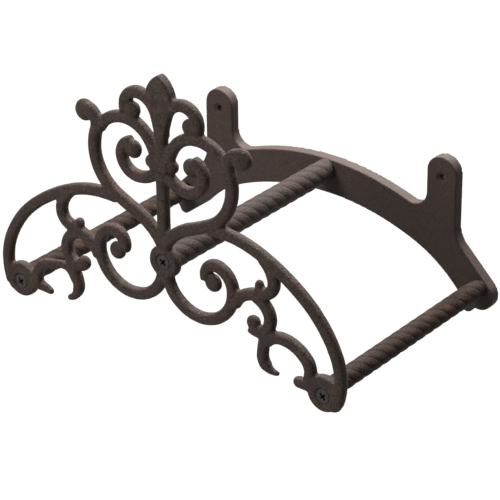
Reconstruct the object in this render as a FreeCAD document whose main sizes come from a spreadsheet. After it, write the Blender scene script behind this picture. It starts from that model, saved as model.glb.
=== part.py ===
import FreeCAD, Part
import math
import os
from FreeCAD import Placement, Rotation, Vector

# Hose hanger in cast iron: a scroll front and an arched wall plate held apart by three rope-twist bars.
# Frame in mm: Y = 0 is the wall, -Y points to the front, +Z is up, X = 0 is the middle.
# Z = 0 is the height of the two ear holes that take the wall screws.

doc = FreeCAD.newDocument("hose_hanger")
sheet = doc.addObject("Spreadsheet::Sheet", "spec")

SIZES = [
    # layout of the three bars
    ("bar_spread", 300.0),       # between the two side bars
    ("crown_rise", 63.5),        # centre screw above the side screws
    ("side_lift", 2.5),          # side bars above their front screws
    ("bar_length", 200.0),       # wall plate to scroll front
    # bars
    ("side_bar_d", 16.0),        # over the ridges
    ("centre_bar_d", 19.0),
    ("ridge_depth", 0.8),
    ("rope_lead", 46.0),
    ("plain_end", 6.0),          # untwisted length at the wall plate
    ("side_tenon_d", 9.0),       # riveted over in the wall plate
    ("centre_tenon_d", 11.0),
    ("tenon_short", 0.3),        # tenon end below the wall face
    # wall plate
    ("plate_thickness", 10.0),
    ("ear_spacing", 223.5),      # between the wall screw holes
    ("ear_rise", 87.8),          # wall screw holes above the side screws
    ("ear_width", 27.5),
    ("ear_tip", 3.5),            # centre of the ear's round end above the hole
    ("arch_above", 9.5),         # plate above the centre bar axis
    ("arch_below", 20.5),        # plate below the centre bar axis
    ("arch_radius", 235.0),      # upper edge
    ("valley_radius", 13.0),     # between upper edge and ear
    ("shoulder_radius", 28.0),   # between ear and leg
    ("foot_radius", 13.0),
    ("foot_drop", 4.5),          # round foot below the side screws
    ("toe_radius", 5.5),
    ("toe_inset", 10.5),         # toe inside and below the side screws
    ("toe_drop", 17.0),
    ("haunch_out", 85.5),        # where the lower edge turns down into the leg
    ("haunch_rise", 26.0),
    ("wall_hole_d", 5.5),
    # scroll front
    ("crest_rise", 152.5),       # tip of the spear above the centre bar
    ("front_depth", 8.2),
    ("collar_depth", 10.0),
    ("vine_width", 9.0),
    ("tail_width", 8.0),         # thin ends near the corners
    ("stem_width", 9.6),
    ("collar_width", 11.4),
    ("corner_boss_d", 29.0),
    ("crown_boss_d", 27.0),
    # countersunk machine screws
    ("screw_d", 6.0),
    ("head_d", 12.0),
    ("screw_length", 22.0),
    ("head_sunk", 1.2),          # below the front face
    ("tap_depth", 22.0),
    # clearances
    ("hole_clear", 0.6),         # on diameter, scroll front
    ("tenon_clear", 0.2),        # on diameter, wall plate
    ("tap_clear", 0.2),          # on diameter, bars
    ("seat_clear", 0.04),        # under the screw heads, along the screw
]
for row, (alias, value) in enumerate(SIZES, start=1):
    sheet.set("A%d" % row, alias)
    sheet.set("B%d" % row, str(value))
    sheet.setAlias("B%d" % row, alias)
doc.recompute()


def size(alias):
    """Value of a sheet cell as a number."""
    return float(sheet.get(alias))


def bind(item, **links):
    """Bind properties of a document object to formulas of the sheet."""
    for prop, formula in links.items():
        item.setExpression(prop.replace("__", "."), formula)
    return item


def cells(formula):
    """Prefix each alias of a formula with the sheet's name."""
    words = sorted((alias for alias, _ in SIZES), key=len, reverse=True)
    text = formula
    for number, alias in enumerate(words):
        text = text.replace(alias, "{%d}" % number)
    return text.format(*["spec." + alias for alias in words])


def primitive(kind, name, **sizes):
    """Part primitive with every size bound to the sheet."""
    item = doc.addObject("Part::" + kind, name)
    return bind(item, **{prop: cells(text) for prop, text in sizes.items()})


def place(item, x="0", y="0", z="0", turn=None):
    """Bind the position of an object; turn is a fixed rotation."""
    if turn is not None:
        item.Placement = Placement(Vector(), turn)
    links = {"Placement__Base__x": x, "Placement__Base__y": y, "Placement__Base__z": z}
    return bind(item, **{prop: cells(text) for prop, text in links.items()})


def fuse(name, items):
    """Union of document objects."""
    item = doc.addObject("Part::MultiFuse", name)
    item.Shapes = items
    item.Refine = True
    return item


def cut(name, base, tools):
    """Base minus one or more tools."""
    item = doc.addObject("Part::Cut", name)
    item.Base = base
    item.Tool = tools[0] if len(tools) == 1 else fuse(name + "_tools", tools)
    return item


def solid(name, shape):
    """Free shape that no primitive covers."""
    item = doc.addObject("Part::Feature", name)
    item.Shape = shape
    return item


BACKWARD = Rotation(Vector(1, 0, 0), -90)   # local Z to +Y
FORWARD = Rotation(Vector(1, 0, 0), 90)     # local Z to -Y


# Curves are chains of arcs in the XZ plane, each tangent to the one before.

STRAIGHT = 1e-4   # turns below this, in radians, are drawn as lines

def arcs_through(start, heading, points):
    """Tangent arcs from start through points; each is (start, end, direction, turn)."""
    chain = []
    here = start
    course = math.radians(heading)
    for there in points:
        chord = math.atan2(there[1] - here[1], there[0] - here[0])
        half = math.remainder(chord - course, 2 * math.pi)
        chain.append((here, there, course, 2 * half))
        course += 2 * half
        here = there
    return chain


def arc_centre(here, there, course, turn):
    """Centre of one arc of a chain."""
    radius = math.dist(here, there) / (2 * math.sin(turn / 2))
    return Vector(here[0] - radius * math.sin(course), 0, here[1] + radius * math.cos(course))


def arc_edges(chain):
    """Edges of a chain."""
    edges = []
    for here, there, course, turn in chain:
        ends = [Vector(p[0], 0, p[1]) for p in (here, there)]
        if abs(turn) < STRAIGHT:
            edges.append(Part.makeLine(*ends))
            continue
        centre = arc_centre(here, there, course, turn)
        radius = (ends[0] - centre).Length
        side = math.copysign(radius, turn)
        half = course + turn / 2
        middle = centre + Vector(side * math.sin(half), 0, -side * math.cos(half))
        edges.append(Part.Arc(ends[0], middle, ends[1]).toShape())
    return edges


# Scroll front, drawn with Y = 0 on its back face and Z = 0 at the side screws.

def vine(name, start, heading, points, width, depth):
    """Scroll bar of constant section along a chain of arcs."""
    pieces = []
    for here, there, course, turn in arcs_through(start, heading, points):
        side = Vector(-math.sin(course), 0, math.cos(course)) * (width / 2)
        base = Vector(here[0], 0, here[1])
        front = Vector(0, -depth, 0)
        ring = [base - side, base + side, base + side + front, base - side + front]
        face = Part.Face(Part.makePolygon(ring + ring[:1]))
        if abs(turn) < STRAIGHT:
            pieces.append(face.extrude(Vector(there[0] - here[0], 0, there[1] - here[1])))
        else:
            centre = arc_centre(here, there, course, turn)
            pieces.append(face.revolve(centre, Vector(0, -1, 0), math.degrees(turn)))
    return solid(name, pieces[0].multiFuse(pieces[1:]) if len(pieces) > 1 else pieces[0])


def button(name, centre, radius, depth):
    """Round boss, bulb or rounded end; depth is a formula of the sheet."""
    item = primitive("Cylinder", name, Height=depth)
    item.Radius = radius
    item.Placement = Placement(Vector(centre[0], 0, centre[1]), FORWARD)
    return item


# The pattern is drawn for these spans and stretched to the spans of the sheet.
DRAWN_HALF_SPREAD = 150.0
DRAWN_CROWN = 63.5
DRAWN_CREST = 152.5


def spot(x, z):
    """Pattern point stretched to the bar layout."""
    wide = x * size("bar_spread") / 2 / DRAWN_HALF_SPREAD
    if z <= DRAWN_CROWN:
        return (wide, z * size("crown_rise") / DRAWN_CROWN)
    return (wide, size("crown_rise") + (z - DRAWN_CROWN) * size("crest_rise") / DRAWN_CREST)


vine_width = size("vine_width")
stem_width = size("stem_width")
tail_width = size("tail_width")
front_depth = size("front_depth")

# Right-hand scrolls: start, direction in degrees, points passed, width.
VINES = {
    "outer_arc": ((161.5, -3.5), 71, [(159.5, 38), (132, 73.5), (90, 98), (47, 104)], vine_width),
    "lyre": ((0, 76), 60, [(26, 98.5), (45.5, 107.5), (66, 138), (63.5, 156), (72, 171.5)], stem_width),
    "arch": ((5, 146), 75, [(11.5, 160.5), (28, 172), (42, 172), (61.5, 157)], vine_width),
    "petal": ((0, 165), 81, [(5, 184.5), (20.5, 196.5), (34, 188), (34, 179)], vine_width),
    "curl": ((6, 135.5), -46, [(25.5, 128), (39.5, 141), (30, 154.5)], vine_width),
    "lower": ((2, 55), -85, [(11, 36), (38, 27), (61.5, 42.5), (65, 61), (51.5, 75), (40.5, 61.5)],
              vine_width),
    "bridge": ((66.5, 47.5), 70, [(78.5, 60.5), (92, 64.5)], vine_width),
    "cee": ((94, 95), -38, [(103.5, 80), (100.5, 69), (89.5, 66.5)], vine_width),
    "ess": ((87, 61.5), -14, [(99.5, 50), (95.5, 35.5), (82.5, 35)], vine_width),
    "tail": ((97, 38), -110, [(91, 15.5), (97, 5), (102.5, 4.5)], tail_width),
    "foot": ((97, 27), 52, [(113, 34), (133, 24.5), (135, 6.5)], vine_width),
    "nub": ((140, 3), 180, [(126, 3)], tail_width),
}

# Bulbs, bosses and rounded ends: centre and radius.
BUTTONS = {
    "lyre_ball": ((75, 169), 7.8),
    "petal_bulb": ((27.5, 181), 6.8),
    "curl_bulb": ((28, 149), 7.2),
    "lower_bulb": ((45.5, 60), 6.8),
    "ess_bulb": ((84.5, 39), 5.6),
    "cee_bud": ((89, 71), 2.8),
    "tail_end": ((102.5, 4.5), tail_width / 2),
    "nub_end": ((126, 3), tail_width / 2),
    "corner_boss": ((DRAWN_HALF_SPREAD, 1.5), size("corner_boss_d") / 2),
}

half_items = []
for name, (start, heading, points, width) in VINES.items():
    half_items.append(vine(name, spot(*start), heading, [spot(*p) for p in points], width, front_depth))
for name, (centre, radius) in BUTTONS.items():
    half_items.append(button(name, spot(*centre), radius, "front_depth"))

right_half = fuse("right_half", half_items)
left_half = doc.addObject("Part::Mirroring", "left_half")
left_half.Source = right_half
left_half.Normal = Vector(1, 0, 0)

# Half width of the spear and how far below its tip.
SPEAR_TIP = (0, DRAWN_CROWN + DRAWN_CREST)
SPEAR_BASE = (4.6, SPEAR_TIP[1] - 50)
SPEAR_WAIST = (7, SPEAR_TIP[1] - 32)
SPEAR_SIDE = (12, SPEAR_TIP[1] - 16)
SPEAR_RISE = 88    # direction at the base, degrees
SPEAR_LEAN = 100   # direction where the side turns to the tip
STEM_TOP = (0, 182)
COLLAR_OUT = 9.0
COLLAR_RISE = 144.5


def spear():
    """Pointed leaf on top of the stem."""
    side = arcs_through(spot(*SPEAR_BASE), SPEAR_RISE, [spot(*SPEAR_WAIST), spot(*SPEAR_SIDE)])
    side += arcs_through(spot(*SPEAR_SIDE), SPEAR_LEAN, [spot(*SPEAR_TIP)])
    edges = arc_edges(side)
    edges += [edge.mirror(Vector(), Vector(1, 0, 0)) for edge in edges]
    half, low = spot(*SPEAR_BASE)
    edges.append(Part.makeLine(Vector(-half, 0, low), Vector(half, 0, low)))
    face = Part.Face(Part.Wire(Part.__sortEdges__(edges)))
    return solid("spear", face.extrude(Vector(0, -front_depth, 0)))


crown = spot(0, DRAWN_CROWN)
collar_width = size("collar_width")
collar_ends = {"collar_left": spot(-COLLAR_OUT, COLLAR_RISE), "collar_right": spot(COLLAR_OUT, COLLAR_RISE)}
middle_items = [
    vine("stem", crown, 90, [spot(*STEM_TOP)], stem_width, front_depth),
    button("crown_boss", crown, size("crown_boss_d") / 2, "front_depth"),
    vine("collar", collar_ends["collar_left"], 0, [collar_ends["collar_right"]], collar_width,
         size("collar_depth")),
    spear(),
]
for name, centre in collar_ends.items():
    middle_items.append(button(name, centre, collar_width / 2, "collar_depth"))
casting = fuse("front_casting", [right_half, left_half] + middle_items)


def tenon_of(side):
    """Sheet name of a bar's tenon diameter."""
    return "centre_tenon_d" if side == "centre" else "side_tenon_d"


# Name of each bar, position of its front screw and lift of the bar above it, as formulas of the sheet.
BAR_SPOTS = [
    ("left", "-bar_spread / 2", "0", "side_lift"),
    ("centre", "0", "crown_rise", "0"),
    ("right", "bar_spread / 2", "0", "side_lift"),
]


def screw_seat(side, x, z):
    """Clearance hole and countersink of one screw in the front."""
    hole = primitive("Cylinder", side + "_hole", Radius="(screw_d + hole_clear) / 2", Height="front_depth")
    sink = primitive("Cone", side + "_sink", Radius1="head_d / 2 + head_sunk", Radius2="screw_d / 2",
                     Height="(head_d - screw_d) / 2 + head_sunk")
    return [place(tool, x, "-front_depth", z, BACKWARD) for tool in (hole, sink)]


front_tools = []
for side, x, z, _ in BAR_SPOTS:
    front_tools += screw_seat(side, x, z)
scroll_front = cut("scroll_front", casting, front_tools)
place(scroll_front, "0", "-plate_thickness - bar_length", "-ear_rise")


# Wall plate, drawn with Y = 0 on the wall face and Z = 0 at the side screws.

LEG_SLOPE = 45.0   # degrees


def plate_outline():
    """Closed outline of the plate without its round feet."""
    ear_x = size("ear_spacing") / 2
    ear_half = size("ear_width") / 2
    ear_z = size("ear_rise") + size("ear_tip")
    top_z = size("crown_rise") + size("arch_above")
    low_z = size("crown_rise") - size("arch_below")
    arch = size("arch_radius")
    valley = size("valley_radius")
    inner = ear_x - ear_half
    outer = ear_x + ear_half
    # the valley arc is tangent to the upper edge and to the upright side of the ear
    swing = math.asin((inner - valley) / (arch + valley))
    dip = (arch * math.sin(swing), top_z - arch + arch * math.cos(swing))
    rise = (inner, top_z - arch + (arch + valley) * math.cos(swing))
    upper = arcs_through((0, top_z), 0, [dip, rise])
    upper += arcs_through(rise, 90, [(inner, ear_z)])
    upper += arcs_through((inner, ear_z), 90, [(ear_x, ear_z + ear_half), (outer, ear_z)])
    # the leg touches the round foot
    foot = (size("bar_spread") / 2, -size("foot_drop"))
    lean = math.sin(math.radians(LEG_SLOPE))
    touch = (foot[0] + size("foot_radius") * lean, foot[1] + size("foot_radius") * lean)
    corner = touch[0] + touch[1] - outer
    reach = size("shoulder_radius") * math.tan(math.radians(LEG_SLOPE / 2))
    bend = (outer + reach * lean, corner - reach * lean)
    upper += arcs_through((outer, ear_z), -90, [(outer, corner + reach), bend, touch])
    toe = (foot[0] - size("toe_inset"), -size("toe_drop"))
    tip = (toe[0] - size("toe_radius") * lean, toe[1] + size("toe_radius") * lean)
    under = arcs_through((0, low_z), 0, [(size("haunch_out"), size("haunch_rise")), tip])
    edges = arc_edges(upper) + arc_edges(under)
    ends = [touch, foot, toe, tip]
    for here, there in zip(ends, ends[1:]):
        edges.append(Part.makeLine(Vector(here[0], 0, here[1]), Vector(there[0], 0, there[1])))
    edges += [edge.mirror(Vector(), Vector(1, 0, 0)) for edge in edges]
    return Part.Face(Part.Wire(Part.__sortEdges__(edges)))


outline = solid("plate_outline", plate_outline())
web = doc.addObject("Part::Extrusion", "plate_web")
web.Base = outline
web.DirMode = "Custom"
web.Dir = Vector(0, -1, 0)
web.Solid = True
bind(web, LengthFwd=cells("plate_thickness"))

plate_items = [web]
plate_tools = []
for side, sign in (("left", "-"), ("right", "")):
    foot = primitive("Cylinder", side + "_foot", Radius="foot_radius", Height="plate_thickness")
    place(foot, sign + "bar_spread / 2", "0", "-foot_drop", FORWARD)
    toe = primitive("Cylinder", side + "_toe", Radius="toe_radius", Height="plate_thickness")
    place(toe, sign + "(bar_spread / 2 - toe_inset)", "0", "-toe_drop", FORWARD)
    plate_items += [foot, toe]
    ear_hole = primitive("Cylinder", side + "_ear_hole", Radius="wall_hole_d / 2", Height="plate_thickness")
    plate_tools.append(place(ear_hole, sign + "ear_spacing / 2", "0", "ear_rise", FORWARD))
for side, x, z, lift in BAR_SPOTS:
    socket = primitive("Cylinder", side + "_socket", Radius="(%s + tenon_clear) / 2" % tenon_of(side),
                       Height="plate_thickness")
    plate_tools.append(place(socket, x, "0", "%s + %s" % (z, lift), FORWARD))
plate_body = fuse("plate_body", plate_items)
back_plate = cut("back_plate", plate_body, plate_tools)
place(back_plate, "0", "0", "-ear_rise")


# Rope-twist bars, drawn along Z from the wall plate.

ROPE_STARTS = 4
STEPS_PER_TURN = 10


def rope(radius, depth, length, lead):
    """Right-hand twisted bar, ridged at the given radius, faceted along its ridges and valleys."""
    steps = math.ceil(length / lead * STEPS_PER_TURN)
    count = 2 * ROPE_STARTS
    rings = []
    for step in range(steps + 1):
        rise = length * step / steps
        ring = []
        for corner in range(count):
            angle = 2 * math.pi * (rise / lead + corner / count)
            reach = radius - depth * (corner % 2)
            ring.append(Vector(reach * math.cos(angle), reach * math.sin(angle), rise))
        rings.append(ring)
    facets = [Part.Face(Part.makePolygon(ring + ring[:1])) for ring in (rings[0], rings[-1])]
    for low, high in zip(rings, rings[1:]):
        for corner in range(count):
            after = (corner + 1) % count
            for trio in ((low[corner], low[after], high[corner]), (low[after], high[after], high[corner])):
                facets.append(Part.Face(Part.makePolygon([*trio, trio[0]])))
    return Part.Solid(Part.Shell(facets))


def make_bar(side, x, z, lift):
    """Twisted bar with a plain end and tenon at the wall plate, tapped at the front for its screw."""
    name = side + "_bar"
    diameter = "centre_bar_d" if side == "centre" else "side_bar_d"
    twist_length = size("bar_length") - size("plain_end")
    shape = rope(size(diameter) / 2, size("ridge_depth"), twist_length, size("rope_lead"))
    twist = solid(name + "_twist", shape)
    place(twist, "0", "0", "plain_end")
    plain = primitive("Cylinder", name + "_end", Radius="(%s - ridge_depth) / 2" % diameter,
                      Height="plain_end")
    tenon = primitive("Cylinder", name + "_tenon", Radius=tenon_of(side) + " / 2",
                      Height="plate_thickness - tenon_short")
    place(tenon, "0", "0", "tenon_short - plate_thickness")
    tap = primitive("Cylinder", name + "_tap", Radius="(screw_d + tap_clear) / 2", Height="tap_depth")
    place(tap, "0", "-%s" % lift, "bar_length - tap_depth")
    bar = cut(name, fuse(name + "_blank", [twist, plain, tenon]), [tap])
    return place(bar, x, "-plate_thickness", "%s + %s - ear_rise" % (z, lift), FORWARD)


bars = [make_bar(*spot_row) for spot_row in BAR_SPOTS]


# Countersunk screws, drawn along Z from the top of the head.

def make_screw(side, x, z):
    """One countersunk screw, seated in the front."""
    name = side + "_screw"
    head = primitive("Cone", name + "_head", Radius1="head_d / 2", Radius2="screw_d / 2",
                     Height="(head_d - screw_d) / 2")
    shank = primitive("Cylinder", name + "_shank", Radius="screw_d / 2", Height="screw_length")
    top = "-plate_thickness - bar_length - front_depth + head_sunk - seat_clear"
    return place(fuse(name, [head, shank]), x, top, z + " - ear_rise", BACKWARD)


front_screws = doc.addObject("Part::Compound", "front_screws")
front_screws.Links = [make_screw(side, x, z) for side, x, z, _ in BAR_SPOTS]

doc.recompute()

nodes = [scroll_front, back_plate] + bars + [front_screws]
os.makedirs("parts", exist_ok=True)
for item in doc.Objects:
    if "Invalid" in item.State or "Error" in item.State:
        raise RuntimeError("%s did not build" % item.Name)
for node in nodes:
    node.Label = node.Name
    if node.Shape.isNull() or not node.Shape.isValid():
        raise RuntimeError("%s has no valid shape" % node.Name)
    node.Shape.exportStep("parts/%s.step" % node.Name)
    print(node.Name, len(node.Shape.Solids), round(node.Shape.Volume / 1000, 1), "cm3")
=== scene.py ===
"""Looks of a cast iron hose hanger: scroll front, wall plate, rope-twist bars and cross-head screws."""

import logging
import math
from dataclasses import dataclass, field
from enum import Enum
from typing import Any, Iterable, Iterator

import bmesh
import bpy
from mathutils import Matrix, Vector, noise


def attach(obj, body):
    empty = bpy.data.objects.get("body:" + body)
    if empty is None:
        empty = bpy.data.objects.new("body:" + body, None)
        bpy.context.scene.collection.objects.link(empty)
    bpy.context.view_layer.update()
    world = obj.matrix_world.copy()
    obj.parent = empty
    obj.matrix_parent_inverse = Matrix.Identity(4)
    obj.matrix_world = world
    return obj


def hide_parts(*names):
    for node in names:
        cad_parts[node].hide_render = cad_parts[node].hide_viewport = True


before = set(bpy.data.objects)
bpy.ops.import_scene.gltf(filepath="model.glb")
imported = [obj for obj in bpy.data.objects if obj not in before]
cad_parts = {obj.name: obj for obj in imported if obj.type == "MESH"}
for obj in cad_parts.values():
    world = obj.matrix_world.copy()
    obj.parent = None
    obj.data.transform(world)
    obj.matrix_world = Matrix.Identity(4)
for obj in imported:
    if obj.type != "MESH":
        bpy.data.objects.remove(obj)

log = logging.getLogger("hose_hanger")

MM = 0.001
FULL_TURN = 2 * math.pi
WHITE = (1.0, 1.0, 1.0, 1.0)
SURFACE_IOR = 1.5
MIX_FACTOR, MIX_UNDER, MIX_OVER = 0, 6, 7  # colour sockets of the Mix node

WELD_MM = 1e-4
STRAIGHT_TURN = 1e-4
SCROLL_STEP_MM = 2.2
LEAF_STEP_MM = 4.0
LONG_WAVE_MM, SHORT_WAVE_MM, SHORT_WAVE_SHARE = 5.5, 2.2, 0.6
KNOB_SEGMENTS, KNOB_RINGS = 28, 18
BOSS_STEPS, SCREW_STEPS, HOLE_STEPS = 48, 56, 40

Point = tuple[float, float]
Place = tuple[float, float, float]
Band = tuple[float, float]
Colour = tuple[float, float, float]


class Slot(Enum):
    """Material slots."""

    IRON = "iron"
    SCREW = "screw"


class Side(Enum):
    """The three bars, by where they stand as seen from the front."""

    LEFT = "left"
    CENTRE = "centre"
    RIGHT = "right"


# Shader nodes


class Signal:
    """A shader socket that can be used in Python expressions."""

    def __init__(self, bench: "ShaderBench", socket: bpy.types.NodeSocket | None) -> None:
        """Wraps one output socket of the bench's node tree; an end node has none."""
        self.bench = bench
        self.socket = socket

    def _maths(self, operation: str, *values: Any) -> "Signal":
        """Adds one Math node.

        Args:
            operation: Blender's name of the operation.
            values: signals or numbers for its inputs.

        Returns:
            The node's result.
        """
        inputs = dict(enumerate(values))
        return self.bench.make("ShaderNodeMath", {"operation": operation}, inputs)

    def __add__(self, other: Any) -> "Signal":
        """Sum."""
        return self._maths("ADD", self, other)

    __radd__ = __add__

    def __sub__(self, other: Any) -> "Signal":
        """Difference."""
        return self._maths("SUBTRACT", self, other)

    def __rsub__(self, other: Any) -> "Signal":
        """Difference from a number."""
        return self._maths("SUBTRACT", other, self)

    def __mul__(self, other: Any) -> "Signal":
        """Product."""
        return self._maths("MULTIPLY", self, other)

    __rmul__ = __mul__

    def __abs__(self) -> "Signal":
        """Value without its sign."""
        return self._maths("ABSOLUTE", self)

    def larger(self, other: Any) -> "Signal":
        """The larger of two values."""
        return self._maths("MAXIMUM", self, other)

    def cosine(self) -> "Signal":
        """Cosine of an angle in radians."""
        return self._maths("COSINE", self)

    def angle_over(self, across: Any) -> "Signal":
        """Angle of a point with this height and the given distance across."""
        return self._maths("ARCTAN2", self, across)

    def between(self, low: float, high: float) -> "Signal":
        """Smooth step from 0 at low to 1 at high."""
        return self.bench.make(
            "ShaderNodeMapRange",
            {"interpolation_type": "SMOOTHSTEP"},
            {"Value": self, "From Min": low, "From Max": high},
        )


class ShaderBench:
    """Node tree of one material or of the world."""

    def __init__(self, tree: bpy.types.NodeTree) -> None:
        """Clears the tree to start from nothing."""
        self.tree = tree
        tree.nodes.clear()

    @classmethod
    def for_material(cls, name: str) -> tuple[bpy.types.Material, "ShaderBench"]:
        """Starts a material.

        Args:
            name: name of the material.

        Returns:
            The material and the bench of its empty tree.
        """
        material = bpy.data.materials.new(name)
        material.use_nodes = True
        return material, cls(material.node_tree)

    def make(self, kind: str, settings: dict[str, Any] | None = None,
             inputs: dict[Any, Any] | None = None, output: Any = 0) -> Signal:
        """Adds any node.

        Args:
            kind: Blender's type name of the node.
            settings: properties that are set first.
            inputs: values or signals by the name or number of the socket.
            output: name or number of the socket to return.

        Returns:
            The chosen output as a signal.
        """
        node = self.tree.nodes.new(kind)
        for name, value in (settings or {}).items():
            setattr(node, name, value)
        for key, value in (inputs or {}).items():
            if isinstance(value, Signal):
                self.tree.links.new(value.socket, node.inputs[key])
            else:
                node.inputs[key].default_value = value
        if isinstance(output, str):
            return Signal(self, node.outputs[output])
        shown = [socket for socket in node.outputs if socket.enabled]
        return Signal(self, shown[output] if shown else None)

    def speckle(self, place: Signal, size_mm: float, detail: float, rough: float = 0.55) -> Signal:
        """Noise with spots of about a given size.

        Args:
            place: coordinates in metres.
            size_mm: size of a spot.
            detail: octaves of finer noise.
            rough: how strong the finer noise is.

        Returns:
            Values of about 0.3 to 0.7.
        """
        inputs = {"Vector": place, "Scale": 1 / (size_mm * MM), "Detail": detail, "Roughness": rough}
        return self.make("ShaderNodeTexNoise", {"noise_dimensions": "3D"}, inputs)

    def blend(self, share: Any, under: Any, over: Any) -> Signal:
        """Mix of two colours.

        Args:
            share: how much of the second colour shows.
            under: first colour, a signal or three numbers.
            over: second colour.

        Returns:
            The mixed colour.
        """
        ends = {MIX_UNDER: under, MIX_OVER: over}
        inputs = {key: (*end, 1.0) if isinstance(end, tuple) else end for key, end in ends.items()}
        return self.make("ShaderNodeMix", {"data_type": "RGBA"}, {MIX_FACTOR: share, **inputs})

    def surface(self, colour: Signal, rough: Signal, height: Signal, metal: float, gloss: float) -> None:
        """Ends the tree in a solid surface.

        Args:
            colour: base colour.
            rough: roughness.
            height: relief in metres.
            metal: how metallic it is.
            gloss: strength of its highlights.
        """
        bump = self.make("ShaderNodeBump", None, {"Strength": 1.0, "Distance": 1.0, "Height": height})
        shader = self.make("ShaderNodeBsdfPrincipled", None, {
            "Base Color": colour,
            "Roughness": rough,
            "Normal": bump,
            "Metallic": metal,
            "IOR": SURFACE_IOR,
            "Specular IOR Level": gloss,
        })
        self.make("ShaderNodeOutputMaterial", None, {"Surface": shader})


@dataclass(frozen=True)
class Twist:
    """Where the strands of a rope-twist bar run, in millimetres."""

    x: float
    z: float
    start_y: float
    lead: float
    starts: int
    plain_end: float
    run_in: float
    plain_level: float = 0.8

    def phase(self, angle: Any, rise: Any) -> Any:
        """Phase of the strands, for numbers and signals: 180 degrees from one strand to the next."""
        return (angle - rise * (FULL_TURN / self.lead)) * (self.starts / 2)

    def crest(self, bench: ShaderBench, place: Signal) -> Signal:
        """Mask of the strands, for the painted highlight on their crests and the painted shade between them.

        Args:
            bench: node tree of the bar's finish.
            place: coordinates in metres.

        Returns:
            One on a strand, zero between two strands, and an even value on the plain end.
        """
        x, y, z = (bench.make("ShaderNodeSeparateXYZ", None, {"Vector": place}, axis) for axis in "XYZ")
        rise = self.start_y - y * (1 / MM)
        angle = (z - self.z * MM).angle_over(x - self.x * MM)
        plain = rise.between(self.plain_end + self.run_in, self.plain_end)
        return abs(self.phase(angle, rise).cosine()).larger(plain * self.plain_level)


@dataclass(frozen=True)
class CoatedIron:
    """Sand-cast iron under a thin dark brown coat, with a breath of rust and painted glints on its grain; on a
    twisted bar, painted highlight along the strand crests and painted shade in the grooves between them;
    heights are in metres.
    """

    name: str
    coat: Colour = (0.060, 0.0425, 0.0375)
    # wear colour of the clouds, also laid as painted highlight on the strand crests of twisted bars
    worn_and_highlight: Colour = (0.096, 0.072, 0.063)
    rust: Colour = (0.125, 0.064, 0.040)
    # dark specks of the grain, also laid as painted shade in the grooves of twisted bars
    soot_and_shade: Colour = (0.027, 0.021, 0.0195)
    # painted glints: bright specks on the grain that stand in for highlights
    painted_glint: Colour = (0.150, 0.117, 0.104)
    twist: Twist | None = None
    speck_share: float = 0.5
    rust_share: float = 0.36
    cloud_share: float = 0.65
    pit_share: float = 0.2
    crest_highlight_share: float = 0.35
    groove_shade_share: float = 0.55
    roughness: float = 0.6
    cloud_rough: float = 0.12
    rust_rough: float = 0.1
    gloss: float = 0.08
    patch_mm: float = 26.0
    cloud_mm: float = 9.0
    lump_mm: float = 6.5
    pit_mm: float = 2.1
    grain_mm: float = 1.5
    fine_mm: float = 0.45
    grain_height: float = 0.0010
    lump_height: float = 0.0005
    fine_of_grain: float = 0.35
    pit_of_grain: float = 0.25
    worn_band: Band = (0.42, 0.66)
    rust_patch_band: Band = (0.5, 0.68)
    rust_cloud_band: Band = (0.38, 0.6)
    painted_glint_band: Band = (0.54, 0.66)
    soot_band: Band = (0.47, 0.36)
    pit_band: Band = (0.3, 0.42)
    rough_band: Band = (0.35, 0.7)
    crest_highlight_band: Band = (0.85, 1.0)
    groove_shade_band: Band = (0.5, 0.1)

    def build(self) -> bpy.types.Material:
        """Makes the material.

        Returns:
            A material on Object coordinates.
        """
        material, bench = ShaderBench.for_material(self.name)
        place = bench.make("ShaderNodeTexCoord", output="Object")
        patches = bench.speckle(place, self.patch_mm, detail=4)
        clouds = bench.speckle(place, self.cloud_mm, detail=5, rough=0.65)
        grain = bench.speckle(place, self.grain_mm, detail=4, rough=0.6)
        fine = bench.speckle(place, self.fine_mm, detail=2)
        lumps = bench.speckle(place, self.lump_mm, detail=3)
        pits = 1 - bench.speckle(place, self.pit_mm, detail=2).between(*self.pit_band)

        colour = bench.blend(clouds.between(*self.worn_band) * self.cloud_share, self.coat, self.worn_and_highlight)
        rusty = patches.between(*self.rust_patch_band) * clouds.between(*self.rust_cloud_band)
        colour = bench.blend(rusty * self.rust_share, colour, self.rust)
        # Painted highlight: bright specks of the grain stand in for glints of light.
        colour = bench.blend(grain.between(*self.painted_glint_band) * self.speck_share, colour, self.painted_glint)
        dark = grain.between(*self.soot_band) * self.speck_share + pits * self.pit_share
        colour = bench.blend(dark, colour, self.soot_and_shade)
        if self.twist:
            crest = self.twist.crest(bench, place)
            # Painted highlight: the wear colour laid along the strand crests.
            colour = bench.blend(crest.between(*self.crest_highlight_band) * self.crest_highlight_share, colour, self.worn_and_highlight)
            # Painted shade: the soot colour laid in the grooves between the strands.
            colour = bench.blend(crest.between(*self.groove_shade_band) * self.groove_shade_share, colour, self.soot_and_shade)

        height = grain * self.grain_height + fine * (self.fine_of_grain * self.grain_height)
        height = height + lumps * self.lump_height - pits * (self.pit_of_grain * self.grain_height)
        rough = clouds.between(*self.rough_band) * self.cloud_rough + rusty * self.rust_rough
        rough = rough + (self.roughness - self.cloud_rough / 2)
        bench.surface(colour, rough, height, metal=0.0, gloss=self.gloss)
        return material


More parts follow.
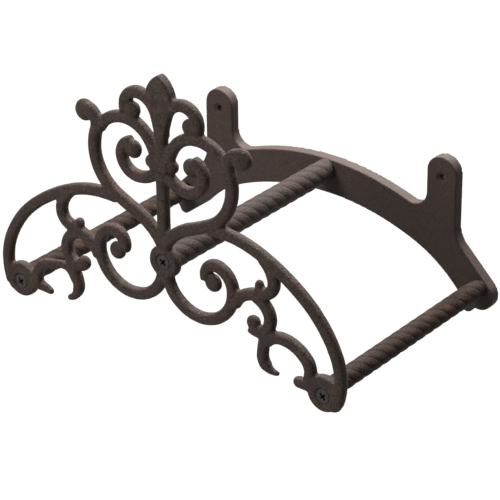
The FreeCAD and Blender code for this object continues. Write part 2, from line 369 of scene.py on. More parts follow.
@dataclass(frozen=True)
class DarkSteel:
    """Blackened steel of the screws, rubbed a little brighter on its faces, with painted shade, near black, in
    its slots.
    """

    name: str = "dark_screw_steel"
    skin: Colour = (0.038, 0.033, 0.030)
    rubbed: Colour = (0.064, 0.057, 0.052)
    slot_shade: Colour = (0.004, 0.0035, 0.003)
    slot_band: Band = (-0.2168, -0.2160)
    rubbed_band: Band = (0.4, 0.68)
    rubbed_share: float = 0.6
    slot_shade_share: float = 0.95
    cloud_mm: float = 2.4
    fine_mm: float = 0.35
    fine_height: float = 0.00006
    metal: float = 0.2
    roughness: float = 0.5
    cloud_rough: float = 0.2
    gloss: float = 0.25

    def build(self) -> bpy.types.Material:
        """Makes the material.

        Returns:
            A material on Object coordinates.
        """
        material, bench = ShaderBench.for_material(self.name)
        place = bench.make("ShaderNodeTexCoord", output="Object")
        inward = bench.make("ShaderNodeSeparateXYZ", None, {"Vector": place}, "Y")
        clouds = bench.speckle(place, self.cloud_mm, detail=4)
        fine = bench.speckle(place, self.fine_mm, detail=3)
        colour = bench.blend(clouds.between(*self.rubbed_band) * self.rubbed_share, self.skin, self.rubbed)
        # Painted shade: near black deeper than about a millimetre, in the cross slots.
        colour = bench.blend(inward.between(*self.slot_band) * self.slot_shade_share, colour, self.slot_shade)
        rough = clouds * self.cloud_rough + (self.roughness - self.cloud_rough / 2)
        bench.surface(colour, rough, fine * self.fine_height, self.metal, self.gloss)
        return material


# Mesh work


class Forge:
    """Steps that every piece shares: from a sketch in millimetres to a dressed piece."""

    @staticmethod
    def cast(sketch: bmesh.types.BMesh, name: str) -> bpy.types.Object:
        """Turns a sketch in millimetres into an object in metres.

        Args:
            sketch: closed shells, used up here.
            name: name of the object.

        Returns:
            The object, linked to the scene.
        """
        bmesh.ops.scale(sketch, vec=(MM, MM, MM), verts=sketch.verts)
        bmesh.ops.recalc_face_normals(sketch, faces=sketch.faces)
        mesh = bpy.data.meshes.new(name)
        sketch.to_mesh(mesh)
        sketch.free()
        piece = bpy.data.objects.new(name, mesh)
        bpy.context.scene.collection.objects.link(piece)
        return piece

    @staticmethod
    def pour(sketch: bmesh.types.BMesh, part: bmesh.types.BMesh) -> None:
        """Adds one sketch to another.

        Args:
            sketch: what grows.
            part: what is added, used up here.
        """
        mesh = bpy.data.meshes.new("part")
        part.to_mesh(mesh)
        part.free()
        sketch.from_mesh(mesh)
        bpy.data.meshes.remove(mesh)

    @staticmethod
    def settle(piece: bpy.types.Object) -> None:
        """Applies the piece's modifiers to its mesh.

        Args:
            piece: object that changes.
        """
        shaped = piece.evaluated_get(bpy.context.evaluated_depsgraph_get())
        mesh = bpy.data.meshes.new_from_object(shaped)
        piece.modifiers.clear()
        old = piece.data
        piece.data = mesh
        bpy.data.meshes.remove(old)
        mesh.name = piece.name

    @classmethod
    def melt(cls, piece: bpy.types.Object, voxel_mm: float) -> None:
        """Runs the shells of a piece into one skin.

        Args:
            piece: object with overlapping closed shells.
            voxel_mm: size of the skin's cells.
        """
        modifier = piece.modifiers.new("melt", "REMESH")
        modifier.mode = "VOXEL"
        modifier.voxel_size = voxel_mm * MM
        cls.settle(piece)

    @staticmethod
    def soften(piece: bpy.types.Object, passes: int, swell_mm: float, unevenness_mm: float) -> None:
        """Smooths a skin and makes it as uneven as a sand casting.

        Args:
            piece: object with one skin.
            passes: rounds of smoothing.
            swell_mm: thickness given back after the smoothing.
            unevenness_mm: height of the low waves in the skin.
        """
        skin = bmesh.new()
        skin.from_mesh(piece.data)
        for _ in range(passes):
            bmesh.ops.smooth_vert(skin, verts=skin.verts, factor=0.5, use_axis_x=True, use_axis_y=True,
                                  use_axis_z=True)
        skin.normal_update()
        for vert in skin.verts:
            wave = noise.noise(vert.co / (LONG_WAVE_MM * MM))
            wave += SHORT_WAVE_SHARE * noise.noise(vert.co / (SHORT_WAVE_MM * MM))
            vert.co += vert.normal * ((swell_mm + unevenness_mm * wave) * MM)
        skin.to_mesh(piece.data)
        skin.free()

    @classmethod
    def carve(cls, piece: bpy.types.Object, cutter: bpy.types.Object, crossed: bool = False) -> None:
        """Cuts one object out of another and removes the cutter.

        Args:
            piece: what is cut.
            cutter: closed object that goes.
            crossed: whether the cutter's shells run through each other.
        """
        modifier = piece.modifiers.new("carve", "BOOLEAN")
        modifier.operation = "DIFFERENCE"
        modifier.solver = "EXACT"
        modifier.use_self = crossed
        modifier.object = cutter
        cls.settle(piece)
        spent = cutter.data
        bpy.data.objects.remove(cutter)
        bpy.data.meshes.remove(spent)

    @staticmethod
    def dress(piece: bpy.types.Object, material: bpy.types.Material, slot: Slot, node: str,
              crease_deg: float) -> None:
        """Gives a finished piece its material and its place in the frame.

        Args:
            piece: finished object.
            material: its finish.
            slot: not used.
            node: CAD node that it stands for.
            crease_deg: edges sharper than this stay crisp.
        """
        piece.data.materials.clear()
        piece.data.materials.append(material)
        piece.data.shade_smooth()
        piece.data.set_sharp_from_angle(angle=math.radians(crease_deg))
        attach(piece, "root")
        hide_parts(node)


def lathe(sketch: bmesh.types.BMesh, profile: Iterable[Point], at: Vector, steps: int) -> None:
    """Turns a profile about an axis along Y.

    Args:
        sketch: where the shell goes.
        profile: (radius, y) pairs from axis to axis.
        at: a point on the axis; its y is added to the profile's.
        steps: faces round the axis.
    """
    verts = [sketch.verts.new(at + Vector((radius, y, 0))) for radius, y in profile]
    edges = [sketch.edges.new(pair) for pair in zip(verts, verts[1:])]
    bmesh.ops.spin(sketch, geom=verts + edges, cent=at, axis=(0, 1, 0), angle=FULL_TURN, steps=steps,
                   use_merge=True, dvec=(0, 0, 0))
    bmesh.ops.remove_doubles(sketch, verts=sketch.verts, dist=WELD_MM)


@dataclass(frozen=True)
class Arc:
    """One arc of a chain in the XZ plane; a turn near zero is a straight line."""

    here: Point
    there: Point
    course: float
    turn: float

    def centre(self) -> Point:
        """Centre of the arc."""
        radius = math.dist(self.here, self.there) / (2 * math.sin(self.turn / 2))
        return (self.here[0] - radius * math.sin(self.course), self.here[1] + radius * math.cos(self.course))

    def straight(self) -> bool:
        """Whether the arc is drawn as a line."""
        return abs(self.turn) < STRAIGHT_TURN

    def steps(self, step_mm: float) -> int:
        """Number of steps along the arc, three at least on a bend."""
        return 1 if self.straight() else max(3, math.ceil(math.dist(self.here, self.there) / step_mm))

    def carry(self, sketch: bmesh.types.BMesh, geom: list[Any], step_mm: float,
              shrink: float = 1.0) -> list[Any]:
        """Sweeps verts and edges along the arc.

        Args:
            sketch: mesh that they are in.
            geom: verts and edges at the arc's start.
            step_mm: length of one step.
            shrink: size after a step as a share of the size before it.

        Returns:
            The verts and edges at the arc's end.
        """
        steps = self.steps(step_mm)
        if self.straight():
            cent, angle = (0.0, 0.0), 0.0
            shift = Vector((self.there[0] - self.here[0], 0, self.there[1] - self.here[1]))
        else:
            cent, angle = self.centre(), self.turn / steps
            shift = Vector((0, 0, 0))
        for _ in range(steps):
            made = bmesh.ops.spin(sketch, geom=geom, cent=(cent[0], 0, cent[1]), axis=(0, -1, 0), dvec=shift,
                                  angle=angle, steps=1, use_merge=False)
            geom = made["geom_last"]
            ring = [g for g in geom if isinstance(g, bmesh.types.BMVert)]
            middle = sum((v.co for v in ring), Vector()) / len(ring)
            bmesh.ops.scale(sketch, vec=(shrink,) * 3, space=Matrix.Translation(-middle), verts=ring)
        return geom


@dataclass(frozen=True)
class Stroke:
    """A scroll of the front: a chain of tangent arcs, drawn from the side screws' height.

    The lift stands it proud of the front's mid-plane, flat is how little its section is rounded, and taper is
    the size of its far end as a share of the near one.
    """

    start: Point
    heading: float
    points: tuple[Point, ...]
    width: float = 9.4
    depth: float = 8.2
    lift: float = 0.0
    flat: float = 0.45
    taper: float = 1.0

    def arcs(self) -> Iterator[Arc]:
        """Draws the chain.

        Returns:
            Arcs from the start through the points, each tangent to the one before.
        """
        here, course = self.start, math.radians(self.heading)
        for there in self.points:
            chord = math.atan2(there[1] - here[1], there[0] - here[0])
            half = math.remainder(chord - course, FULL_TURN)
            yield Arc(here, there, course, 2 * half)
            course += 2 * half
            here = there

    def forge(self, sketch: bmesh.types.BMesh, middle_y: float) -> None:
        """Sweeps the rounded section along the arcs.

        Args:
            sketch: where the shell goes.
            middle_y: mid-plane of the front.
        """
        course = math.radians(self.heading)
        across = Vector((-math.sin(course), 0, math.cos(course))) * (self.width / 2)
        inward = Vector((0, self.depth / 2, 0))
        base = Vector((self.start[0], middle_y - self.lift, self.start[1]))
        signs = ((1, 1), (1, -1), (-1, -1), (-1, 1))
        corners = [sketch.verts.new(base + across * a + inward * b) for a, b in signs]
        sketch.faces.new(corners)
        round_off = min(self.width, self.depth) / 2 * (1 - self.flat / 2)
        made = bmesh.ops.bevel(sketch, geom=corners, offset=round_off, offset_type="OFFSET", segments=4,
                               profile=0.5, affect="VERTICES", material=-1, clamp_overlap=True)
        cap = made["verts"][0].link_faces[0]
        geom = list(cap.verts) + list(cap.edges)
        arcs = list(self.arcs())
        shrink = self.taper ** (1 / sum(arc.steps(SCROLL_STEP_MM) for arc in arcs))
        for arc in arcs:
            geom = arc.carry(sketch, geom, SCROLL_STEP_MM, shrink)
        bmesh.ops.contextual_create(sketch, geom=[g for g in geom if isinstance(g, bmesh.types.BMEdge)])


@dataclass(frozen=True)
class Knob:
    """A bulb or rounded end of a scroll."""

    centre: Point
    radius: float
    half_depth: float = 4.3
    stretch: float = 1.0

    def forge(self, sketch: bmesh.types.BMesh, middle_y: float) -> None:
        """Adds the bulb.

        Args:
            sketch: where the shell goes.
            middle_y: mid-plane of the front.
        """
        place = Matrix.Translation((self.centre[0], middle_y, self.centre[1]))
        shape = Matrix.Diagonal((self.radius, self.half_depth, self.radius * self.stretch, 1))
        bmesh.ops.create_uvsphere(sketch, u_segments=KNOB_SEGMENTS, v_segments=KNOB_RINGS, radius=1.0,
                                  matrix=place @ shape)


@dataclass
class ScrollFront:
    """The front casting: scrolls, bulbs, bosses, collar and spear in one skin.

    Both halves are drawn on the right; the left one takes its own strokes and knobs where it has them.
    """

    node: str = "scroll_front"
    finish: CoatedIron = CoatedIron("coated_iron_front")
    crease_deg: float = 50.0
    back_y: float = -210.0
    depth: float = 8.2
    screw_drop: float = 87.8
    boss_spots: tuple[Point, ...] = ((-150, 0), (0, 63.5), (150, 0))
    corner_boss: Point = (150, 1.5)
    corner_boss_r: float = 14.5
    crown_boss_r: float = 13.5
    boss_depth: float = 7.7
    boss_edge: float = 1.6
    boss_back_edge: float = 0.8
    seat_profile: tuple[Point, ...] = (
        (0, -4), (9.2, -4), (8.0, 0.15), (7.1, 0.75), (3.3, 4.4), (3.3, 12), (0, 12))
    stem: Stroke = Stroke((0, 63.5), 90, ((0, 190),), 9.8, lift=0.3)
    collar: Stroke = Stroke((-8.2, 144.5), 0, ((8.2, 144.5),), 10.2, 10.2, lift=1.5, flat=1.3)
    collar_ends: tuple[Knob, ...] = (Knob((-9.6, 144.5), 5.4, 4.9), Knob((9.6, 144.5), 5.4, 4.9))
    collar_end_lift: float = 0.6
    voxel_mm: float = 0.95
    smoothing: int = 2
    swell_mm: float = 0.10
    unevenness_mm: float = 0.12
    strokes: dict[str, Stroke] = field(default_factory=lambda: {
        "outer_arc": Stroke((161.5, -3.5), 71, ((159.5, 38), (132, 73.5), (90, 98), (47, 104)), lift=0.1),
        "lyre": Stroke((0, 76), 60, ((26, 98.5), (45.5, 107.5), (66, 138), (63.5, 156), (72, 171.5)), 9.9,
                       lift=0.8),
        "arch": Stroke((5, 146), 75, ((11.5, 160.5), (28, 172), (42, 172), (61.5, 157))),
        "petal": Stroke((0, 165), 81, ((5, 184.5), (20.5, 196.5), (34, 188), (34, 179))),
        "curl": Stroke((6, 135.5), -46, ((25.5, 128), (39.5, 141), (30, 154.5))),
        "lower": Stroke((2, 55), -85, ((11, 36), (38, 27), (61.5, 42.5), (65, 61), (51.5, 75), (40.5, 61.5))),
        "bridge": Stroke((66.5, 47.5), 70, ((78.5, 60.5), (92, 64.5))),
        "cee": Stroke((94, 95), -38, ((103.5, 80), (100.5, 69), (89.5, 66.5))),
        "ess": Stroke((87, 61.5), -14, ((99.5, 50), (95.5, 35.5), (82.5, 35))),
        "tail": Stroke((97.5, 36), -112, ((92.8, 15), (96, 6.5)), 8.8),
        "hook": Stroke((96, 6.5), -46, ((106.5, 2.8),), 8.8, taper=0.42),
        "foot": Stroke((97, 27), 52, ((113, 34), (133, 24.5), (135, 6.5))),
        "nub": Stroke((140, 3), 180, ((126, 3),), 8.4),
    })
    knobs: dict[str, Knob] = field(default_factory=lambda: {
        "lyre_ball": Knob((75, 168.5), 8.7, 5.6),
        "petal_bulb": Knob((27.5, 181), 6.9, 4.6),
        "curl_bulb": Knob((28, 149), 7.4, 4.6),
        "lower_bulb": Knob((46.8, 60), 7.3, 4.6),
        "ess_bulb": Knob((84.5, 39), 5.8, 4.5),
        "cee_bud": Knob((90.2, 71.2), 3.6, 3.6, 1.4),
        "arc_end": Knob((47, 104), 4.6, 4.2),
        "hook_end": Knob((106.5, 2.8), 1.8, 1.7),
        "heel": Knob((157.5, -3.5), 8.2, 4.2),
        "curl_root": Knob((7.5, 138), 3.6, 3.4),
        "nub_end": Knob((126, 3), 4.1, 4.0),
    })
    left_strokes: dict[str, Stroke] = field(default_factory=lambda: {
        "tail": Stroke((97.5, 36), -118, ((90.0, 18.5), (90.2, 10.5)), 8.8),
        "hook": Stroke((90.2, 10.5), -74, ((99.5, 0.8),), 8.8, taper=0.55),
        "foot": Stroke((134.5, 4), 92, ((132, 14.5), (120, 24.2), (107.5, 27.4), (96, 21.5), (92, 15)), 10.4,
                       taper=0.5),
        "nub": Stroke((138, 3.2), 188, ((120.5, -0.6),), 11.5, 9.0, taper=0.5),
    })
    left_knobs: dict[str, Knob] = field(default_factory=lambda: {
        "lower_bulb": Knob((47.2, 58.6), 7.3, 4.6),
        "ess_bulb": Knob((82.6, 36.6), 5.8, 4.5),
        "cee_bud": Knob((86.2, 69.6), 3.9, 4.6, 1.2),
        "hook_end": Knob((99.5, 0.8), 2.4, 2.2),
        "nub_end": Knob((120.5, -0.6), 2.9, 2.5),
    })
    spear_base: Point = (4.8, 166)
    spear_base_heading: float = 88
    spear_waist: Point = (7, 184)
    spear_side: Point = (12, 200)
    spear_side_heading: float = 100
    spear_tip: Point = (0, 216)

    def spear(self, sketch: bmesh.types.BMesh) -> None:
        """Pointed leaf on top of the stem: half an outline, mirrored and thickened.

        Args:
            sketch: where the shell goes.
        """
        leaf = bmesh.new()
        start = leaf.verts.new((self.spear_base[0], 0, self.spear_base[1]))
        geom: list[Any] = [start]
        side = Stroke(self.spear_base, self.spear_base_heading, (self.spear_waist, self.spear_side))
        point = Stroke(self.spear_side, self.spear_side_heading, (self.spear_tip,))
        for arc in (*side.arcs(), *point.arcs()):
            geom = arc.carry(leaf, geom, LEAF_STEP_MM)
        foot = leaf.verts.new((0, 0, self.spear_base[1]))
        leaf.edges.new((foot, start))
        tip = next(g for g in geom if isinstance(g, bmesh.types.BMVert))
        leaf.edges.new((tip, foot))
        bmesh.ops.remove_doubles(leaf, verts=leaf.verts, dist=WELD_MM)
        bmesh.ops.contextual_create(leaf, geom=leaf.edges[:])
        bmesh.ops.mirror(leaf, geom=leaf.verts[:] + leaf.edges[:] + leaf.faces[:], axis="X", merge_dist=1e-3)
        bmesh.ops.dissolve_limit(leaf, angle_limit=1e-3, verts=leaf.verts, edges=leaf.edges)
        thick = bmesh.ops.extrude_face_region(leaf, geom=leaf.faces[:])
        front = [g for g in thick["geom"] if isinstance(g, bmesh.types.BMVert)]
        bmesh.ops.translate(leaf, vec=(0, -self.depth, 0), verts=front)
        bmesh.ops.translate(leaf, vec=(0, self.back_y, 0), verts=leaf.verts)
        Forge.pour(sketch, leaf)

    def boss(self, sketch: bmesh.types.BMesh, centre: Point, radius: float) -> None:
        """Round boss with a softly broken edge.

        Args:
            sketch: where the shell goes.
            centre: place in the pattern.
            radius: radius of the boss.
        """
        front, edge, back_edge = -self.boss_depth, self.boss_edge, self.boss_back_edge
        profile = [(0, 0), (radius - back_edge, 0), (radius, -back_edge), (radius, front + edge),
                   (radius - 0.5 * edge, front + 0.3 * edge), (radius - edge, front), (0, front)]
        lathe(sketch, profile, Vector((centre[0], self.back_y, centre[1])), BOSS_STEPS)

    def half(self, strokes: dict[str, Stroke], knobs: dict[str, Knob]) -> bmesh.types.BMesh:
        """Scrolls, bulbs and corner boss of one half, drawn on the right.

        Args:
            strokes: scrolls by name.
            knobs: bulbs by name.

        Returns:
            A sketch in the pattern's place.
        """
        sketch = bmesh.new()
        middle = self.back_y - self.depth / 2
        for shape in (*strokes.values(), *knobs.values()):
            shape.forge(sketch, middle)
        self.boss(sketch, self.corner_boss, self.corner_boss_r)
        return sketch

    def screw_seats(self) -> bpy.types.Object:
        """Countersinks and holes of the three screws.

        Returns:
            A cutter.
        """
        sketch = bmesh.new()
        for x, z in self.boss_spots:
            at = Vector((x, self.back_y - self.depth, z - self.screw_drop))
            lathe(sketch, self.seat_profile, at, SCREW_STEPS)
        return Forge.cast(sketch, "screw_seats")

    def build(self) -> bpy.types.Object:
        """Makes the casting.

        Returns:
            The finished mesh object.
        """
        sketch = self.half(self.strokes, self.knobs)
        left = self.half({**self.strokes, **self.left_strokes}, {**self.knobs, **self.left_knobs})
        bmesh.ops.scale(left, vec=(-1, 1, 1), verts=left.verts)
        Forge.pour(sketch, left)
        middle = self.back_y - self.depth / 2
        self.stem.forge(sketch, middle)
        self.collar.forge(sketch, middle)
        for knob in self.collar_ends:
            knob.forge(sketch, middle - self.collar_end_lift)
        self.boss(sketch, self.boss_spots[1], self.crown_boss_r)
        self.spear(sketch)
        bmesh.ops.translate(sketch, vec=(0, 0, -self.screw_drop), verts=sketch.verts)
        piece = Forge.cast(sketch, "scroll_front_casting")
        Forge.melt(piece, self.voxel_mm)
        Forge.soften(piece, self.smoothing, self.swell_mm, self.unevenness_mm)
        Forge.carve(piece, self.screw_seats())
        return piece

    def dress(self, piece: bpy.types.Object) -> None:
        """Gives the casting its finish and its place in the frame."""
        Forge.dress(piece, self.finish.build(), Slot.IRON, self.node, self.crease_deg)


@dataclass
class WallPlate:
    """The arched wall plate: the solid's own outline with the soft edges of a casting."""

    node: str = "back_plate"
    # Painted light: coat and wear lighter than the front's, though it is the same iron, to make up for the
    # shade the plate sits in.
    finish: CoatedIron = CoatedIron(
        "coated_iron_plate", coat=(0.080, 0.057, 0.0505), worn_and_highlight=(0.108, 0.083, 0.073), rust_share=0.12,
        cloud_share=0.25, speck_share=0.25, grain_height=0.0002, lump_height=0.0002)
    crease_deg: float = 50.0
    front_y: float = -10.0
    thickness: float = 10.0
    ear_holes: tuple[Point, ...] = ((-111.75, 0), (111.75, 0))
    hole_r: float = 2.6
    mouth_r: float = 5.0
    mouth_depth: float = 1.6
    mouth_flare: float = 2.2
    hole_overcut: float = 3.0
    toes: tuple[Point, ...] = ((-151.5, -103.2), (135.4, -104.6))
    toe_r: float = 5.5
    trimmed_edge: tuple[Point, ...] = ((-107.7, -76.4), (-147.0, -106.5), (-147.0, -125.0), (-107.7, -125.0))
    trim_overcut: float = 5.0
    weld_m: float = 1e-6
    voxel_mm: float = 0.95
    smoothing: int = 2
    swell_mm: float = 0.06
    unevenness_mm: float = 0.05

    def trim(self) -> bpy.types.Object:
        """What is ground off under the left leg, so that its inner edge runs straight to the toe.

        Returns:
            A cutter.
        """
        sketch = bmesh.new()
        corners = [sketch.verts.new((x, self.front_y - self.trim_overcut, z)) for x, z in self.trimmed_edge]
        made = bmesh.ops.extrude_face_region(sketch, geom=[sketch.faces.new(corners)], use_keep_orig=True)
        far = [g for g in made["geom"] if isinstance(g, bmesh.types.BMVert)]
        bmesh.ops.translate(sketch, vec=(0, self.thickness + 2 * self.trim_overcut, 0), verts=far)
        return Forge.cast(sketch, "leg_trim")

    def drill(self) -> bpy.types.Object:
        """Holes of the two ears, with worn mouths.

        Returns:
            A cutter.
        """
        sketch = bmesh.new()
        near, far = -self.hole_overcut, self.thickness + self.hole_overcut
        profile = [(0, near), (self.mouth_r + self.mouth_flare, near), (self.mouth_r, 0),
                   (self.hole_r, self.mouth_depth), (self.hole_r, far), (0, far)]
        for x, z in self.ear_holes:
            lathe(sketch, profile, Vector((x, self.front_y, z)), HOLE_STEPS)
        return Forge.cast(sketch, "ear_holes")

    def build(self) -> bpy.types.Object:
        """Makes the plate.

        Returns:
            The finished mesh object.
        """
        blank = bmesh.new()
        blank.from_mesh(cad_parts[self.node].data)
        bmesh.ops.remove_doubles(blank, verts=blank.verts, dist=self.weld_m)
        bmesh.ops.scale(blank, vec=(1 / MM,) * 3, verts=blank.verts)
        profile = [(0, 0), (self.toe_r, 0), (self.toe_r, self.thickness), (0, self.thickness)]
        for x, z in self.toes:
            lathe(blank, profile, Vector((x, self.front_y, z)), HOLE_STEPS)
        piece = Forge.cast(blank, "wall_plate_casting")
        Forge.carve(piece, self.trim(), crossed=True)
        Forge.melt(piece, self.voxel_mm)
        Forge.soften(piece, self.smoothing, self.swell_mm, self.unevenness_mm)
        Forge.carve(piece, self.drill())
        return piece

    def dress(self, piece: bpy.types.Object) -> None:
        """Gives the plate its finish and its place in the frame."""
        Forge.dress(piece, self.finish.build(), Slot.IRON, self.node, self.crease_deg)


@dataclass
class RopeBar:
    """A rope-twist bar with a plain end and a tenon at the wall plate."""

    side: Side
    x: float
    z: float
    radius: float
    tenon_r: float
    length: float = 200.0
    plate_front: float = -10.0
    ridge: float = 0.5
    roundness: float = 0.65
    lead: float = 46.0
    starts: int = 4
    plain_end: float = 6.0
    run_in: float = 5.0
    front_fade: float = 2.0
    front_share: float = 0.3
    tenon_length: float = 9.6
    tenon_edge: float = 0.5
    tenon_root: float = 1.5
    points: int = 64
    steps: int = 260
    coat: Colour = (0.034, 0.0215, 0.0175)
    worn_and_highlight: Colour = (0.062, 0.042, 0.034)
    painted_glint: Colour = (0.105, 0.075, 0.062)
    gloss: float = 0.04
    rust_share: float = 0.6
    grain_height: float = 0.0007
    lump_height: float = 0.00015
    crease_deg: float = 60.0

    def twist(self) -> Twist:
        """Run of the bar's strands."""
        return Twist(self.x, self.z, self.plate_front, self.lead, self.starts, self.plain_end, self.run_in)

    def finish(self) -> CoatedIron:
        """Finish of the bar, with painted highlight along its strands and painted shade between them."""
        return CoatedIron(
            f"coated_iron_{self.side.value}_bar", self.coat, self.worn_and_highlight, painted_glint=self.painted_glint, twist=self.twist(),
            rust_share=self.rust_share, gloss=self.gloss, grain_height=self.grain_height,
            lump_height=self.lump_height)

    def ridge_at(self, angle: float, rise: float) -> float:
        """Radius of the bar.

        Args:
            angle: about the bar's axis.
            rise: distance from the wall plate.

        Returns:
            The radius in millimetres.
        """
        wave = abs(math.cos(self.twist().phase(angle, rise))) ** self.roundness
        share = min(1.0, max(0.0, (rise - self.plain_end) / self.run_in))
        share *= min(1.0, max(self.front_share, (self.length - rise) / self.front_fade))
        return self.radius - 0.5 * self.ridge * (1 - share) - self.ridge * share * (1 - wave)

    def build(self) -> bpy.types.Object:
        """Makes the bar.

        Returns:
            The finished mesh object.
        """
        sketch = bmesh.new()
        turn = Matrix.Rotation(math.radians(90), 4, "X")
        ring = bmesh.ops.create_circle(sketch, cap_ends=True, segments=self.points, radius=1.0, matrix=turn)
        edges = list({e for v in ring["verts"] for e in v.link_edges})
        turns = FULL_TURN * self.length / self.lead
        made = bmesh.ops.spin(sketch, geom=ring["verts"] + edges, cent=(0, 0, 0), axis=(0, -1, 0), angle=turns,
                              dvec=(0, -self.length / self.steps, 0), steps=self.steps, use_merge=False)
        last = [g for g in made["geom_last"] if isinstance(g, bmesh.types.BMEdge)]
        bmesh.ops.contextual_create(sketch, geom=last)
        for vert in sketch.verts:
            rise = -vert.co.y
            radius = self.ridge_at(math.atan2(vert.co.z, vert.co.x), rise)
            vert.co.x *= radius
            vert.co.z *= radius
        end, root = self.tenon_length, -self.tenon_root
        tenon = [(0, end), (self.tenon_r - self.tenon_edge, end), (self.tenon_r, end - self.tenon_edge),
                 (self.tenon_r, root), (0, root)]
        lathe(sketch, tenon, Vector((0, 0, 0)), BOSS_STEPS)
        bmesh.ops.translate(sketch, vec=(self.x, self.plate_front, self.z), verts=sketch.verts)
        return Forge.cast(sketch, f"{self.side.value}_rope_bar")

    def dress(self, piece: bpy.types.Object) -> None:
        """Gives the bar its finish and its place in the frame."""
        Forge.dress(piece, self.finish().build(), Slot.IRON, f"{self.side.value}_bar", self.crease_deg)


@dataclass
class CrossHeadScrews:
    """The three countersunk screws of the front; a spot is x, z and the turn of the slots in degrees."""

    spots: tuple[Place, ...] = ((-150, -87.8, 52), (0, -24.3, 38), (150, -87.8, 47))
    node: str = "front_screws"
    finish: DarkSteel = DarkSteel()
    crease_deg: float = 35.0
    top_y: float = -217.04
    head_profile: tuple[Point, ...] = ((0, -0.12), (3.3, -0.08), (5.65, 0), (5.96, 0.28))
    head_depth: float = 3.1
    shank_r: float = 2.9
    length: float = 22.0
    tip_length: float = 1.0
    tip_edge: float = 0.8
    slot_width: float = 2.0
    slot_reach: float = 3.8
    slot_depth: float = 2.7
    slot_overcut: float = 1.0
    floor_reach_share: float = 0.45
    floor_width_share: float = 0.75

    def slots(self) -> bpy.types.Object:
        """Cross slots that narrow towards their floor.

        Returns:
            A cutter.
        """
        cross = bmesh.new()
        for x, z, angle in self.spots:
            for quarter in (0, 90):
                place = Matrix.Translation((x, self.top_y, z))
                place @= Matrix.Rotation(math.radians(angle + quarter), 4, "Y")
                block = bmesh.ops.create_cube(cross, size=1.0)["verts"]
                for vert in block:
                    deep = vert.co.y > 0
                    vert.co.x *= 2 * self.slot_reach * (self.floor_reach_share if deep else 1.0)
                    vert.co.z *= self.slot_width * (self.floor_width_share if deep else 1.0)
                    vert.co.y = self.slot_depth if deep else -self.slot_overcut
                bmesh.ops.transform(cross, matrix=place, verts=block)
        return Forge.cast(cross, "cross_slots")

    def build(self) -> bpy.types.Object:
        """Makes the screws.

        Returns:
            One object with the three screws.
        """
        sketch = bmesh.new()
        profile = [*self.head_profile, (self.shank_r, self.head_depth),
                   (self.shank_r, self.length - self.tip_length),
                   (self.shank_r - self.tip_edge, self.length), (0, self.length)]
        for x, z, _ in self.spots:
            lathe(sketch, profile, Vector((x, self.top_y, z)), SCREW_STEPS)
        piece = Forge.cast(sketch, "cross_head_screws")
        Forge.carve(piece, self.slots(), crossed=True)
        return piece

    def dress(self, piece: bpy.types.Object) -> None:
        """Gives the screws their finish and their place in the frame."""
        Forge.dress(piece, self.finish.build(), Slot.SCREW, self.node, self.crease_deg)


# Stage


@dataclass(frozen=True)
class SoftBox:
    """A square lamp, in metres."""

    name: str
    place: Place
    size: float
    watts: float

    def hang(self, aim: Place) -> None:
        """Hangs the lamp.

        Args:
            aim: what it points at.
        """
        data = bpy.data.lights.new(self.name, "AREA")
        data.shape = "SQUARE"
        data.size = self.size
        data.energy = self.watts
        lamp = bpy.data.objects.new(self.name, data)
        lamp.location = self.place
        lamp.rotation_mode = "QUATERNION"
        lamp.rotation_quaternion = (Vector(aim) - Vector(self.place)).to_track_quat("-Z", "Y")
        bpy.context.scene.collection.objects.link(lamp)


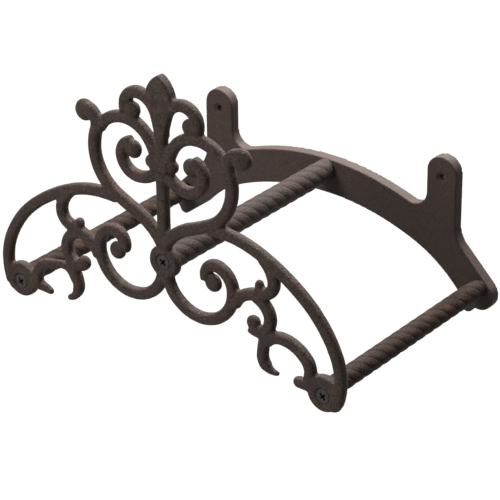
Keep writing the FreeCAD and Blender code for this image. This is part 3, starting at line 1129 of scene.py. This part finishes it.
@dataclass
class Studio:
    """Pale floor, soft lights and the camera of the photograph."""

    azimuth: float = 38.3545
    elevation: float = 27.0542
    roll: float = -0.58
    distance_mm: float = 1972.0
    aside_mm: float = -62.5858
    rise_mm: float = -9.1
    aim_mm: Place = (0.0, -10.0, -87.8)
    lens: float = 171.896
    sensor_mm: float = 36.0
    clip: Band = (0.05, 50.0)
    floor_z: float = -1.6
    floor_half_mm: float = 6000.0
    floor_grey: float = 0.86
    floor_glow: float = 1.12
    floor_glow_share: float = 0.92
    sky_fill: float = 0.08
    lamp_aim: Place = (0.0, -0.11, -0.02)
    lamps: tuple[SoftBox, ...] = (
        SoftBox("top_box", (-0.15, 0.5, 0.85), 0.6, 39.0),
        SoftBox("front_box", (-0.55, -1.5, 1.0), 0.7, 22.0),
    )

    def camera(self) -> None:
        """Places the camera."""
        a, e = math.radians(self.azimuth), math.radians(self.elevation)
        back = Vector((math.sin(a) * math.cos(e), -math.cos(a) * math.cos(e), math.sin(e)))
        level = Vector((math.cos(a), math.sin(a), 0))
        right = Matrix.Rotation(math.radians(self.roll), 3, back) @ level
        up = back.cross(right)
        place = back * self.distance_mm + right * self.aside_mm + up * self.rise_mm + Vector(self.aim_mm)
        data = bpy.data.cameras.new("photo_camera")
        data.lens = self.lens
        data.sensor_width = self.sensor_mm
        data.clip_start, data.clip_end = self.clip
        camera = bpy.data.objects.new("photo_camera", data)
        camera.location = place * MM
        camera.rotation_mode = "QUATERNION"
        camera.rotation_quaternion = Matrix((right, up, back)).transposed().to_quaternion()
        bpy.context.scene.collection.objects.link(camera)
        bpy.context.scene.camera = camera

    @staticmethod
    def seen(bench: ShaderBench) -> Signal:
        """Tells which rays show the white surroundings.

        Args:
            bench: node tree that asks.

        Returns:
            One for rays from the camera, from gloss and through glass, and zero for the rest.
        """
        seen = bench.make("ShaderNodeLightPath", output="Is Camera Ray")
        for ray in ("Is Glossy Ray", "Is Transmission Ray"):
            seen = seen.larger(bench.make("ShaderNodeLightPath", output=ray))
        return seen

    def floor(self) -> None:
        """Lays the floor."""
        sketch = bmesh.new()
        bmesh.ops.create_grid(sketch, x_segments=1, y_segments=1, size=self.floor_half_mm,
                              matrix=Matrix.Translation((0, 0, self.floor_z / MM)))
        floor = Forge.cast(sketch, "pale_floor")
        material, bench = ShaderBench.for_material("pale_floor_paint")
        grey = (self.floor_grey, self.floor_grey, self.floor_grey, 1.0)
        paint = bench.make("ShaderNodeBsdfDiffuse", None, {"Color": grey})
        white = bench.make("ShaderNodeEmission", None, {"Color": WHITE, "Strength": self.floor_glow})
        share = self.seen(bench) * self.floor_glow_share
        mixed = bench.make("ShaderNodeMixShader", None, {0: share, 1: paint, 2: white})
        bench.make("ShaderNodeOutputMaterial", None, {"Surface": mixed})
        floor.data.materials.append(material)

    def sky(self) -> None:
        """Sets the even light all round, white where it is seen."""
        world = bpy.data.worlds.new("studio_walls")
        bpy.context.scene.world = world
        world.use_nodes = True
        bench = ShaderBench(world.node_tree)
        fill = bench.make("ShaderNodeBackground", None, {"Color": WHITE, "Strength": self.sky_fill})
        white = bench.make("ShaderNodeBackground", None, {"Color": WHITE, "Strength": 1.0})
        mixed = bench.make("ShaderNodeMixShader", None, {0: self.seen(bench), 1: fill, 2: white})
        bench.make("ShaderNodeOutputWorld", None, {"Surface": mixed})

    def build(self) -> None:
        """Sets up the whole stage."""
        bpy.context.scene.view_settings.view_transform = "Standard"
        self.floor()
        self.sky()
        for lamp in self.lamps:
            lamp.hang(self.lamp_aim)
        self.camera()


SubAssembly = ScrollFront | WallPlate | RopeBar | CrossHeadScrews


@dataclass
class HoseHanger:
    """The whole object."""

    front: ScrollFront = field(default_factory=ScrollFront)
    plate: WallPlate = field(default_factory=WallPlate)
    bars: tuple[RopeBar, ...] = (
        RopeBar(Side.LEFT, -150.0, -85.3, 8.0, 4.5),
        RopeBar(Side.CENTRE, 0.0, -24.3, 9.5, 5.5, coat=(0.046, 0.032, 0.028), worn_and_highlight=(0.074, 0.054, 0.047),
                painted_glint=(0.112, 0.086, 0.076), gloss=0.08),
        RopeBar(Side.RIGHT, 150.0, -85.3, 8.0, 4.5),
    )
    screws: CrossHeadScrews = field(default_factory=CrossHeadScrews)

    def parts(self) -> tuple[SubAssembly, ...]:
        """Sub-assemblies in the order in which they are made."""
        return (self.front, self.plate, *self.bars, self.screws)


def main() -> None:
    """Builds the hanger on its stage and logs how many triangles each piece has."""
    logging.basicConfig(level=logging.INFO, format="%(name)s: %(message)s")
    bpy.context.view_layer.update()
    for part in HoseHanger().parts():
        piece = part.build()
        part.dress(piece)
        triangles = sum(len(face.vertices) - 2 for face in piece.data.polygons)
        log.info("%s: %d triangles", piece.name, triangles)
    Studio().build()


if __name__ == "__main__":
    main()
